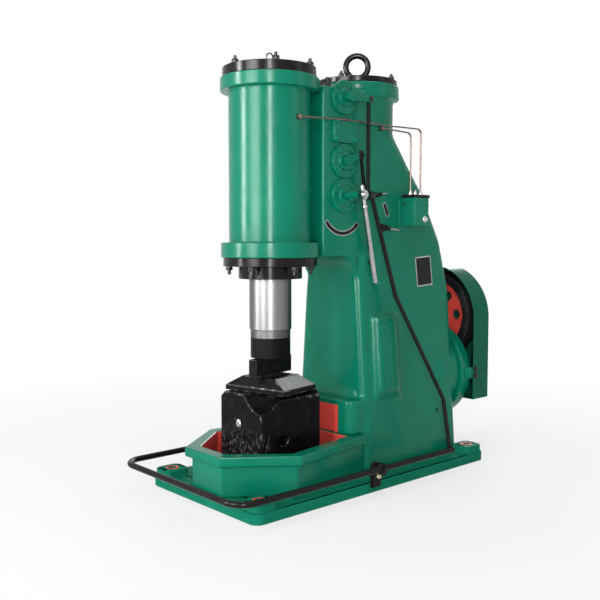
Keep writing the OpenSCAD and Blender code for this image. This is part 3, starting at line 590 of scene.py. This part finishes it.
def paintTrough():
    # the inner walls of the trough keep their red primer
    mesh = nodes["anvil_trough"].data
    middle = middleOf("sow_block")
    mesh.materials.append(finish["primerRed"])
    for face in mesh.polygons:
        inward = Vector((-face.center.x, middle.y - face.center.y, 0)).normalized()
        if abs(face.normal.z) < troughPrimer["upright"] and face.normal.dot(inward) > troughPrimer["inward"]:
            face.material_index = 1


for finishName, finishNodes in nodeFinish.items():
    for nodeName, edgeRadius in finishNodes.items():
        dressNode(nodeName, finishName, edgeRadius)
paintTrough()
print("nodes dressed:", sum(len(finishNodes) for finishNodes in nodeFinish.values()))

# mesh tools for the added pieces
mergeGap = 0.000002
smoothTo = 40  # degrees, past which an edge shows
hexSet = {"top": 0.9, "chamfer": 0.07, "segments": 2}  # shares of the height and of the width
# washer thickness in shares of the nut's width, its edge in shares of that, the tip of the stud's radius
studSet = {"washer": 0.1, "edgeUp": 0.8, "edgeIn": 0.3, "tip": 0.2}
capOutline = ((0, 0), (1, 0), (1, 0.6), (0.8, 1), (0, 1))


def aligned(place, axis):
    return Matrix.Translation(Vector(place)) @ Vector(axis).to_track_quat("Z", "Y").to_matrix().to_4x4()


def faceOn(place, normal):
    # local X along the machine towards its rear, local Y upwards, local Z out of the face
    out = normal.normalized()
    up = out.cross(along["y"]).normalized()
    return Matrix.Translation(place) @ Matrix((up.cross(out), up, out)).transposed().to_4x4()


def joinInto(bm, part, matrix):
    bmesh.ops.transform(part, matrix=matrix, verts=part.verts)
    carrier = bpy.data.meshes.new("carrier")
    part.to_mesh(carrier)
    part.free()
    bm.from_mesh(carrier)
    bpy.data.meshes.remove(carrier)


def scaled(outline, radius, high):
    # an outline drawn in shares of a radius and a height
    return [(radius * out, high * up) for out, up in outline]


def outlineOf(turned, key="outline"):
    return scaled(turned[key], turned["radius"], turned["high"])


def addTurned(bm, profile, matrix, steps=32):
    # profile of (radius, height) points spun about the local upright axis
    part = bmesh.new()
    ring = [part.verts.new((radius, 0, height)) for radius, height in profile]
    edges = [part.edges.new(pair) for pair in zip(ring, ring[1:])]
    bmesh.ops.spin(part, geom=ring + edges, cent=(0, 0, 0), axis=along["z"], angle=2 * math.pi, steps=steps,
                   use_merge=True)
    bmesh.ops.remove_doubles(part, verts=part.verts, dist=mergeGap)
    bmesh.ops.recalc_face_normals(part, faces=part.faces)
    joinInto(bm, part, matrix)


def addHex(bm, across, high, matrix):
    part = bmesh.new()
    radius = across / math.sqrt(3)
    bmesh.ops.create_cone(part, cap_ends=True, segments=6, radius1=radius, radius2=radius, depth=high,
                          matrix=Matrix.Translation((0, 0, high / 2)))
    rims = [edge for edge in part.edges if all(vert.co.z > high * hexSet["top"] for vert in edge.verts)]
    bmesh.ops.bevel(part, geom=rims, offset=across * hexSet["chamfer"], offset_type="OFFSET",
                    segments=hexSet["segments"], profile=0.5, affect="EDGES", material=-1)
    joinInto(bm, part, matrix)


def addStud(bm, place, axis, size):
    # washer and nut standing on a face, and the stud's end where it reaches past the nut
    seat = aligned(place, axis)
    washer = size["washer"]
    thick = size["across"] * studSet["washer"]
    addTurned(bm, [(0, 0), (washer, 0), (washer, thick * studSet["edgeUp"]),
                   (washer - thick * studSet["edgeIn"], thick), (0, thick)], seat, steps=24)
    addHex(bm, size["across"], size["high"], seat @ Matrix.Translation((0, 0, thick)))
    if "reach" in size:
        stud = size["stud"]
        tip = stud * studSet["tip"]
        top = thick + size["high"] + size["reach"]
        addTurned(bm, [(stud, thick), (stud, top - tip), (stud - tip, top), (0, top)], seat, steps=16)


def addTube(bm, points, radius, sides=12):
    # round wire through points, swept by extruding a ring along them
    part = bmesh.new()
    ring = None
    for index, point in enumerate(points):
        ahead = points[min(index + 1, len(points) - 1)] - points[max(index - 1, 0)]
        matrix = aligned(point, ahead)
        if ring is None:
            made = bmesh.ops.create_circle(part, cap_ends=True, segments=sides, radius=radius, matrix=matrix)
            ring = made["verts"]
        else:
            face = next(face for face in part.faces if set(face.verts) == set(ring))
            new = bmesh.ops.extrude_face_region(part, geom=[face])
            ring = [item for item in new["geom"] if isinstance(item, bmesh.types.BMVert)]
            bmesh.ops.delete(part, geom=[face], context="FACES_ONLY")
            bmesh.ops.transform(part, matrix=matrix @ lastTurn.inverted(), verts=ring)
        lastTurn = matrix
    bmesh.ops.recalc_face_normals(part, faces=part.faces)
    joinInto(bm, part, Matrix.Identity(4))


def thicken(part, thick):
    grown = bmesh.ops.extrude_face_region(part, geom=part.faces[:])
    lifted = [item for item in grown["geom"] if isinstance(item, bmesh.types.BMVert)]
    bmesh.ops.translate(part, vec=(0, 0, thick), verts=lifted)
    bmesh.ops.recalc_face_normals(part, faces=part.faces)


def addPlate(bm, place, normal, size, lean, thick, corner):
    part = bmesh.new()
    bmesh.ops.create_grid(part, x_segments=1, y_segments=1, size=0.5, matrix=Matrix.Diagonal((*size, 1, 1)))
    bmesh.ops.bevel(part, geom=part.verts[:], offset=corner, offset_type="OFFSET", segments=4, profile=0.5,
                    affect="VERTICES", material=-1)
    thicken(part, thick)
    joinInto(bm, part, faceOn(place, normal) @ Matrix.Rotation(math.radians(lean), 4, "Z"))


def newPiece(name, bm, material, body):
    mesh = bpy.data.meshes.new(name)
    bm.to_mesh(mesh)
    bm.free()
    mesh.shade_smooth()
    mesh.set_sharp_from_angle(angle=math.radians(smoothTo))
    mesh.materials.append(finish[material])
    piece = bpy.data.objects.new(name, mesh)
    scene.collection.objects.link(piece)
    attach(piece, body)


def ringOf(centre, first, second, ring):
    # places on a circle in the plane of two axes, its start in degrees from the first
    for index in range(ring["count"]):
        angle = math.radians(ring["start"] + index * 360 / ring["count"])
        yield centre + ring["radius"] * (first * math.cos(angle) + second * math.sin(angle))


bpy.context.view_layer.update()
castShape = nodes["frame_column"].evaluated_get(bpy.context.evaluated_depsgraph_get())


def sideSeat(y, z, far=1.0):
    # point and outward normal of the casting's control side at that height
    _, place, normal, _ = castShape.ray_cast(Vector((far, y, z)), -along["x"])
    return place, normal


# studs and nuts on the two cylinders and the valve chest
coverStep = 0.008  # the cylinder cover's rim lies this far under its top
cylinderStuds = {
    "cover": {"across": 0.030, "high": 0.015, "washer": 0.019, "stud": 0.008, "reach": 0.016,
              "radius": 0.196, "count": 6, "start": 28},
    "gland": {"across": 0.030, "high": 0.016, "washer": 0.019, "stud": 0.0085, "reach": 0.020,
              "radius": 0.192, "count": 6, "start": -5},
    "compressor": {"across": 0.024, "high": 0.013, "washer": 0.015, "stud": 0.007, "reach": 0.012,
                   "radius": 0.186, "count": 4, "start": 20},
    "chest": {"across": 0.026, "high": 0.020, "washer": 0.017, "stud": 0.009, "reach": 0.024,
              "places": ((0.150, -0.149), (-0.150, -0.149))},
}


def makeCylinderStuds():
    working, compressor = middleOf("cylinder_cover"), middleOf("compressor_cover")
    coverTop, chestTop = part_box("cylinder_cover")[1].z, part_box("compressor_cover")[1].z
    rings = (("cylinder_cover_studs", "cover", working, coverTop - coverStep, along["z"]),
             ("gland_studs", "gland", working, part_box("gland_flange")[0].z, -along["z"]),
             ("compressor_cover_studs", "compressor", compressor, chestTop, along["z"]))
    for name, kind, centre, level, axis in rings:
        bm = bmesh.new()
        for place in ringOf(Vector((*centre.xy, level)), along["x"], along["y"], cylinderStuds[kind]):
            addStud(bm, place, axis, cylinderStuds[kind])
        newPiece(name, bm, "boltSteel", "frame")
    bm = bmesh.new()
    size = cylinderStuds["chest"]
    for x, y in size["places"]:
        _, place, _, _ = castShape.ray_cast(Vector((x, y, chestTop)), -along["z"])
        addStud(bm, place, along["z"], size)
    newPiece("chest_studs", bm, "boltSteel", "frame")


# small wire loop to lift the cylinder cover
coverRing = {"place": (0.153, -0.502), "radius": 0.0125, "wire": 0.0030, "lift": 0.014, "turn": 48.14,
             "steps": 24}


def makeCoverRing():
    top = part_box("cylinder_cover")[1].z - coverStep
    turn = math.radians(coverRing["turn"])
    middleX, middleY = coverRing["place"]
    loop = []
    for index in range(coverRing["steps"] + 1):
        angle = math.pi * index / coverRing["steps"]
        across = coverRing["radius"] * math.cos(angle)
        loop.append(Vector((middleX + across * math.cos(turn), middleY + across * math.sin(turn),
                            top + coverRing["lift"] + coverRing["radius"] * math.sin(angle))))
    bm = bmesh.new()
    addTube(bm, [Vector((*loop[0].xy, top)), *loop, Vector((*loop[-1].xy, top))], coverRing["wire"])
    newPiece("cylinder_cover_ring", bm, "leverBlack", "frame")


# screws of the valve covers, whose rims lie a step under their hubs, and of the port cover
coverScrews = {"across": 0.018, "high": 0.008, "washer": 0.011, "radius": 0.064, "count": 4, "start": 45,
               "step": 0.010, "portInset": 0.016}


def makeCoverScrews():
    bm = bmesh.new()
    for name in ("upper_valve_cover", "middle_valve_cover", "lower_valve_cover"):
        centre = middleOf(name)
        centre.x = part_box(name)[1].x - coverScrews["step"]
        for place in ringOf(centre, along["y"], along["z"], coverScrews):
            addStud(bm, place, along["x"], coverScrews)
    low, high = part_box("port_cover")
    inset = coverScrews["portInset"]
    for y in (low.y + inset, high.y - inset):
        for z in (low.z + inset, high.z - inset):
            addStud(bm, (high.x, y, z), along["x"], coverScrews)
    newPiece("cover_screws", bm, "castEnamel", "frame")


# bare plates on the casting's side, each a dark face in a bright rim
plates = {
    "name": {"middle": (0.510, 1.010), "size": (0.124, 0.154), "lean": 4.0, "thick": 0.0016, "rim": 0.006},
    "small": {"middle": (0.2215, 1.3225), "size": (0.026, 0.072), "lean": 26.0, "thick": 0.0014,
              "rim": 0.004},
}
plateSet = {"sunk": 0.0004, "corner": 0.004, "faceCorner": 0.003, "faceThin": 0.0002}


def makePlates():
    sunk = plateSet["sunk"]
    for name, plate in plates.items():
        place, normal = sideSeat(*plate["middle"])
        lean, thick = plate["lean"], plate["thick"]
        bm = bmesh.new()
        addPlate(bm, place - normal * sunk, normal, plate["size"], lean, thick, plateSet["corner"])
        newPiece(name + "_plate_rim", bm, "brightSteel", "frame")
        inner = [side - plate["rim"] * 2 for side in plate["size"]]
        bm = bmesh.new()
        addPlate(bm, place + normal * sunk, normal, inner, lean, thick - plateSet["faceThin"],
                 plateSet["faceCorner"])
        newPiece(name + "_plate_face", bm, "coverBlack", "frame")


# quadrant plate under the hand lever, an arc round the lower valve
quadrant = {"middle": (-0.084, 1.332), "radius": 0.130, "width": 0.024, "from": 214, "to": 322, "steps": 28,
            "rim": 0.004, "rimZ": (-0.0004, 0.0014), "faceZ": (0.0002, 0.0017)}


def addArcBand(bm, inset, low, high):
    # the plate's arc, drawn in by an inset on every side
    part = bmesh.new()
    turned = math.degrees(inset / quadrant["radius"])
    start, end = math.radians(quadrant["from"] + turned), math.radians(quadrant["to"] - turned)
    half = quadrant["width"] / 2 - inset
    rail = [part.verts.new((radius * math.cos(start), radius * math.sin(start), low))
            for radius in (quadrant["radius"] - half, quadrant["radius"] + half)]
    edge = part.edges.new(rail)
    bmesh.ops.spin(part, geom=rail + [edge], cent=(0, 0, 0), axis=along["z"], angle=end - start,
                   steps=quadrant["steps"])
    thicken(part, high - low)
    place, _ = sideSeat(*quadrant["middle"])
    joinInto(bm, part, faceOn(Vector((place.x, *quadrant["middle"])), along["x"]))


def makeQuadrant():
    bm = bmesh.new()
    addArcBand(bm, 0, *quadrant["rimZ"])
    newPiece("quadrant_plate_rim", bm, "brightSteel", "frame")
    bm = bmesh.new()
    addArcBand(bm, quadrant["rim"], *quadrant["faceZ"])
    newPiece("quadrant_plate_face", bm, "coverBlack", "frame")


# hand lever: collar under the hub and cap on the hub
collarBore = 0.0086 / 0.0128  # share of the collar's radius
leverTrim = {
    "lean": 12.0, "collarDown": 0.052, "sunk": 0.0005,
    "collar": {"radius": 0.0128, "high": 0.012,
               "outline": ((collarBore, 0), (0.9, 0), (1, 0.2), (1, 0.8), (0.9, 1), (collarBore, 1),
                           (collarBore, 0))},
    "cap": {"radius": 0.016, "high": 0.010, "outline": ((0, 0), (1, 0), (1, 0.7), (0.8, 1), (0, 1))},
}


def makeLeverTrim():
    hub = middleOf("lower_valve_cover")
    hub.x = middleOf("hand_lever").x
    lean = math.radians(leverTrim["lean"])
    down = Vector((0, math.sin(lean), -math.cos(lean)))
    neck = hub + down * leverTrim["collarDown"]
    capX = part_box("hand_lever")[1].x - leverTrim["sunk"]
    bm = bmesh.new()
    addTurned(bm, outlineOf(leverTrim["collar"]), aligned(neck, down), steps=28)
    addTurned(bm, outlineOf(leverTrim["cap"]), aligned((capX, hub.y, hub.z), along["x"]), steps=28)
    newPiece("hand_lever_trim", bm, "leverChrome", "lower_valve")


# lubricator: sight glass, knobs and screw on the box, in shares of its sides, and the unions on the lid
oilerTrim = {
    "sight": {"ahead": 0.70, "up": 0.24, "radius": 0.017, "high": 0.006,
              "ring": ((0.72, 0), (1, 0), (1, 0.8), (0.94, 1), (0.78, 1), (0.72, 0.6), (0.72, 0)),
              "glass": ((0, 0), (0.74, 0), (0.74, 0.45), (0.5, 0.62), (0, 0.7))},
    "knob": {"radius": 0.010, "high": 0.016, "ups": (0.75, 0.20), "in": 0.020,
             "outline": ((0, 0), (0.6, 0), (0.6, 0.3), (1, 0.4), (1, 0.85), (0.8, 1), (0, 1))},
    "screw": {"across": 0.016, "high": 0.008, "washer": 0.012, "stud": 0.004, "reach": 0.006, "in": 0.018,
              "up": 0.80},
    "union": {"across": 0.017, "nut": 0.0108, "radius": 0.00612, "high": 0.024, "aheads": (0.12, 0.46, 0.84),
              "outline": ((1, 0), (1, 0.9), (0.7, 1), (0, 1))},
}


def makeOilerTrim():
    low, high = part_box("lubricator_box")
    span = high - low
    sight, knob, screw, union = (oilerTrim[name] for name in ("sight", "knob", "screw", "union"))
    seat = aligned((high.x, low.y + span.y * sight["ahead"], low.z + span.z * sight["up"]), along["x"])
    bm = bmesh.new()
    addTurned(bm, outlineOf(sight, "ring"), seat)
    newPiece("lubricator_sight_ring", bm, "brightSteel", "frame")
    bm = bmesh.new()
    addTurned(bm, outlineOf(sight, "glass"), seat)
    newPiece("lubricator_sight_glass", bm, "sightGlass", "frame")
    bm = bmesh.new()
    for up in knob["ups"]:
        seat = aligned((high.x - knob["in"], high.y, low.z + span.z * up), along["y"])
        addTurned(bm, outlineOf(knob), seat, steps=24)
    newPiece("lubricator_knobs", bm, "coverBlack", "frame")
    bm = bmesh.new()
    addStud(bm, (low.x + screw["in"], low.y, low.z + span.z * screw["up"]), -along["y"], screw)
    newPiece("lubricator_screw", bm, "sheetEnamel", "frame")
    bm = bmesh.new()
    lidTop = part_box("lubricator_lid")[1].z
    for ahead in union["aheads"]:
        seat = aligned(((low.x + high.x) / 2, low.y + span.y * ahead, lidTop), along["z"])
        addHex(bm, union["across"], union["nut"], seat)
        addTurned(bm, outlineOf(union), seat, steps=20)
    newPiece("lubricator_unions", bm, "brightSteel", "frame")


# three cocks on the casting's side, each a black body and a bright pin, and a knob on the upper one's pin
cocks = {
    "drain": {"seat": (0.190, 1.232), "radius": 0.020, "high": 0.026, "pin": 0.006, "pinTo": (0.300, 1.222)},
    "lower": {"seat": (0.104, 1.062), "radius": 0.013, "high": 0.022, "pin": 0.0045, "pinTo": (0.110, 1.006)},
    "upper": {"seat": (0.150, 1.392), "radius": 0.012, "high": 0.022, "pin": 0.0045, "pinTo": (0.215, 1.403)},
}
cockSet = {"body": ((0, 0), (1, 0), (1, 0.35), (0.75, 0.5), (0.75, 0.9), (0.6, 1), (0, 1)), "sunk": 0.001,
           "pin": ((0, 0), (1, 0), (1, 0.94), (0.7, 1), (0, 1)), "pinUp": 0.7,
           "nutWide": 3.6, "nutLong": 0.35}  # shares of the pin's radius and length
cockKnob = {"radius": 0.011, "high": 0.011, "outline": ((0, -1), (0.7, -0.7), (1, 0), (0.7, 0.7), (0, 1))}


def makeCocks():
    black, bright, knob = bmesh.new(), bmesh.new(), bmesh.new()
    for name, cock in cocks.items():
        place, _ = sideSeat(*cock["seat"])
        seat = aligned(place - along["x"] * cockSet["sunk"], along["x"])
        addTurned(black, scaled(cockSet["body"], cock["radius"], cock["high"]), seat, steps=28)
        pinX = place.x + cock["high"] * cockSet["pinUp"]
        start, end = Vector((pinX, *cock["seat"])), Vector((pinX, *cock["pinTo"]))
        reach = (end - start).length
        seat = aligned(start, end - start)
        addTurned(bright, scaled(cockSet["pin"], cock["pin"], reach), seat, steps=16)
        addHex(black, cock["pin"] * cockSet["nutWide"], reach * cockSet["nutLong"], seat)
        if name == "upper":
            addTurned(knob, outlineOf(cockKnob), aligned(end, along["y"]), steps=24)
    newPiece("drain_cocks", black, "leverBlack", "frame")
    newPiece("drain_cock_pins", bright, "brightSteel", "frame")
    newPiece("upper_cock_knob", knob, "castEnamel", "frame")


# treadle: black caps on its pins and one pale screw below each
treadleTrim = {"cap": {"radius": 0.016, "high": 0.006, "outline": capOutline},
               "screw": {"across": 0.017, "high": 0.009, "washer": 0.011},
               "drop": 0.042, "back": 0.008, "plate": 0.022}


def makeTreadleTrim():
    black, cream = bmesh.new(), bmesh.new()
    pinZ = middleOf("treadle_bar").z
    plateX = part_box("base_plate")[1].x + treadleTrim["plate"]
    for name, sign in (("treadle_bracket_right", 1), ("treadle_bracket_left", -1)):
        low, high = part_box(name)
        tip = high.x if sign > 0 else low.x
        y, out = middleOf(name).y, along["x"] * sign
        addTurned(black, outlineOf(treadleTrim["cap"]), aligned((tip, y, pinZ), out), steps=28)
        place = (sign * plateX, y + treadleTrim["back"], pinZ - treadleTrim["drop"])
        addStud(cream, place, out, treadleTrim["screw"])
    newPiece("treadle_pin_caps", black, "leverBlack", "frame")
    newPiece("treadle_bracket_screws", cream, "creamPaint", "frame")


# heads of the pins at both ends of the link bar
pinHeads = {"radius": 0.0145, "high": 0.005, "outline": capOutline, "rodThick": 0.0105}


def makePinHeads():
    low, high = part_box("link_bar")
    half = (high.y - low.y) / 2
    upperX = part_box("upper_valve_arm")[1].x
    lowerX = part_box("treadle_rod")[0].x + pinHeads["rodThick"]
    for name, body, x, z in (("upper_pin_head", "upper_valve", upperX, high.z - half),
                             ("lower_pin_head", "lower_valve", lowerX, low.z + half)):
        bm = bmesh.new()
        addTurned(bm, outlineOf(pinHeads), aligned((x, low.y + half, z), along["x"]), steps=24)
        newPiece(name, bm, "boltSteel", body)


# spot faces round the anchor holes, left in primer
spotBore = 0.0212 / 0.030  # share of the face's radius
spotFaces = {"radius": 0.030, "high": 0.0006,
             "outline": ((spotBore, 0), (1, 0), (0.99, 1), (spotBore, 1), (spotBore, 0))}
millimetre = 0.001


def makeSpotFaces():
    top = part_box("base_plate")[1].z
    bolts = next(mount for mount in frame["record"]["mounts"] if mount["kind"] == "bolt_pattern")["dims"]
    halfX, halfY = (bolts[key] * millimetre / 2 for key in ("spacing_x_mm", "spacing_y_mm"))
    bm = bmesh.new()
    for x in (-halfX, halfX):
        for y in (-halfY, halfY):
            addTurned(bm, outlineOf(spotFaces), aligned((x, y, top), along["z"]), steps=40)
    newPiece("anchor_spot_faces", bm, "primerRed", "frame")


# bare steel plug in the blind hole of the sow block, placed from the block's foot and front
sowPlug = {"across": -0.025, "height": 0.274, "in": 0.006, "radius": 0.0215, "high": 0.010,
           "outline": ((0, 0), (1, 0), (1, 0.7), (0.85, 0.95), (0.5, 1), (0, 1))}


def makeSowPlug():
    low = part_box("sow_block")[0]
    place = (sowPlug["across"], low.y + sowPlug["in"] + sowPlug["high"], low.z + sowPlug["height"])
    bm = bmesh.new()
    addTurned(bm, outlineOf(sowPlug), aligned(place, -along["y"]))
    newPiece("sow_block_plug", bm, "brightSteel", "frame")


# painted plug low on the casting's side, with a black disc in its hole as painted shade
plugBore = 0.010 / 0.021  # share of the plug's radius
footPlug = {"middle": (0.565, 0.276), "radius": 0.021, "high": 0.005,
            "rim": ((plugBore, -1), (plugBore, 1), (0.85, 1), (1, 0.6), (1, -1), (plugBore, -1)),
            "socket": ((0, 0.2), (plugBore, 0.2), (plugBore, -1), (0, -1))}


def makeFootPlug():
    seat = aligned(*sideSeat(*footPlug["middle"]))
    bm = bmesh.new()
    addTurned(bm, outlineOf(footPlug, "rim"), seat)
    newPiece("foot_plug", bm, "castEnamel", "frame")
    # black disc sunk in the plug's hole: painted shade
    bm = bmesh.new()
    addTurned(bm, outlineOf(footPlug, "socket"), seat)
    newPiece("foot_plug_shade_disc", bm, "leverBlack", "frame")


# cover on the raised side panel, with two painted screws
panelCover = {"middle": (0.163, 0.610), "size": (0.074, 0.330), "lean": 1.7, "thick": 0.005, "corner": 0.010,
              "screws": ((0.184, 0.752), (0.172, 0.468)), "across": 0.018, "high": 0.012, "sunk": 0.001}


def makePanelCover():
    place, normal = sideSeat(*panelCover["middle"])
    sunk = normal * panelCover["sunk"]
    bm = bmesh.new()
    addPlate(bm, place - sunk, normal, panelCover["size"], panelCover["lean"], panelCover["thick"],
             panelCover["corner"])
    for screw in panelCover["screws"]:
        seat, _ = sideSeat(*screw)
        addHex(bm, panelCover["across"], panelCover["high"], aligned(seat - sunk, normal))
    newPiece("panel_cover", bm, "castEnamel", "frame")


# screws on the guard's lugs, level with the motor pulley
guardScrews = {"across": 0.022, "high": 0.010, "washer": 0.016, "in": 0.016, "spread": 0.018}


def makeGuardScrews():
    low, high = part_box("belt_guard")
    lugZ = middleOf("motor_pulley").z
    bm = bmesh.new()
    for x, out in ((high.x, along["x"]), (low.x, -along["x"])):
        for z in (lugZ - guardScrews["spread"], lugZ + guardScrews["spread"]):
            addStud(bm, (x, low.y + guardScrews["in"], z), out, guardScrews)
    newPiece("guard_screws", bm, "boltSteel", "frame")


# clamping nut under the lifting eye
eyeNut = {"across": 0.078, "high": 0.016}


def makeEyeNut():
    seat = Vector((*middleOf("lifting_eye").xy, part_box("compressor_cover")[1].z))
    bm = bmesh.new()
    addHex(bm, eyeNut["across"], eyeNut["high"], aligned(seat, along["z"]))
    newPiece("lifting_eye_nut", bm, "brightSteel", "frame")


makeCylinderStuds()
makeCoverRing()
makeCoverScrews()
print("studs and screws set")
makePlates()
makeQuadrant()
makeLeverTrim()
makeOilerTrim()
makeCocks()
print("plates and controls set")
makeTreadleTrim()
makePinHeads()
makeSpotFaces()
makeSowPlug()
makeFootPlug()
makePanelCover()
makeGuardScrews()
makeEyeNut()
print("trim set")
